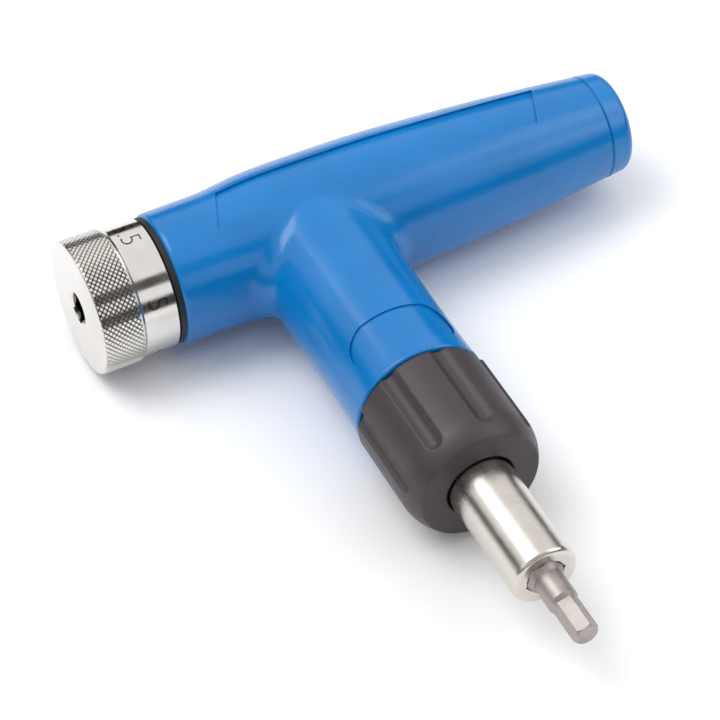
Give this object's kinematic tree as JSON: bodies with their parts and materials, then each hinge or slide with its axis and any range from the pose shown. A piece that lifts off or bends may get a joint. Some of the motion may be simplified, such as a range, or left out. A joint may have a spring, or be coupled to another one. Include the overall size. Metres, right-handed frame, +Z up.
{
  "type": "torque screwdriver",
  "caption": "T-handled torque screwdriver with a knurled torque dial, fluted nose collar and hex bit holder, lying flat.",
  "frame": {"origin": "middle of the bounding box, on the surface that the tool lies on", "axes": "+X along the crossbar from the dial to the end cap, +Y from the bit to the crossbar, +Z up"},
  "size_m": [0.1062, 0.1158, 0.026],
  "materials": {
    "blue_moulding": "satin blue glass-filled nylon",
    "blue_cap": "satin blue nylon",
    "collar_black": "matte warm black nylon",
    "ring_black": "matte black",
    "dial_nickel": "satin nickel plating",
    "machined_steel": "machined",
    "bronze": "sintered, oiled",
    "spring_steel": "blued spring steel",
    "hardened_steel": "hardened, greased",
    "holder_nickel": "satin nickel plating",
    "magnet": "nickel plated magnet",
    "bit_steel": "matte bead-blasted tool steel",
    "rack_black": "matte black nylon",
    "seal_rubber": "matte black rubber"
  },
  "bodies": {
    "handle": {"handle": "blue_moulding", "nose_collar": "collar_black", "clutch_housing": "machined_steel", "spindle_bush": "bronze", "thrust_washer": "machined_steel", "camshaft_bush_outer": "bronze", "camshaft_bush_inner": "bronze", "dial_seal_ring": "ring_black", "click_spring": "spring_steel", "torque_spring": "spring_steel", "bit_rack": "rack_black", "rack_magnet": "magnet", "spare_hex_bit_3mm": "bit_steel", "spare_hex_bit_5mm": "bit_steel", "spare_star_bit": "bit_steel"},
    "dial": {"dial_knob": "dial_nickel", "cam_shaft": "machined_steel"},
    "spring_seat": {"spring_seat": "machined_steel"},
    "clutch_ring": {"clutch_ring": "hardened_steel"},
    "spindle": {"spindle": "hardened_steel", "bit_holder": "holder_nickel", "holder_magnet": "magnet", "bit_retaining_ring": "spring_steel", "holder_pin": "machined_steel"},
    "bit": {"drive_bit": "bit_steel"},
    "cap": {"end_cap": "blue_cap", "cap_o_ring": "seal_rubber"}
  },
  "joints": [
    {"name": "dial_turn", "type": "hinge", "parent": "handle", "child": "dial", "pos_m": [-0.01015, 0.04467, 0.01325], "axis": [-1, 0, 0], "range_deg": [0, 288], "deforming": ["click_spring"]},
    {"name": "seat_slide", "type": "slide", "parent": "handle", "child": "spring_seat", "axis": [0, 1, 0], "range_m": [0, 0.0024], "deforming": ["torque_spring"]},
    {"name": "spindle_turn", "type": "hinge", "parent": "handle", "child": "spindle", "pos_m": [-0.01015, -0.01533, 0.01325], "axis": [0, 1, 0], "range_deg": [0, 50], "stiffness_Nm_per_rad": 0.05},
    {"name": "clutch_ring_lift", "type": "slide", "parent": "handle", "child": "clutch_ring", "axis": [0, 1, 0], "range_m": [0, 0.0012]},
    {"name": "bit_pull", "type": "slide", "parent": "spindle", "child": "bit", "axis": [0, -1, 0], "range_m": [0, 0.02]},
    {"name": "cap_pull", "type": "slide", "parent": "handle", "child": "cap", "axis": [1, 0, 0], "range_m": [0, 0.02]}
  ],
  "couplings": [
    {"joint": "seat_slide", "follows": "dial_turn", "m_per_rad": 0.00047746},
    {"joint": "clutch_ring_lift", "follows": "spindle_turn", "m_per_rad": 0.0013751}
  ]
}
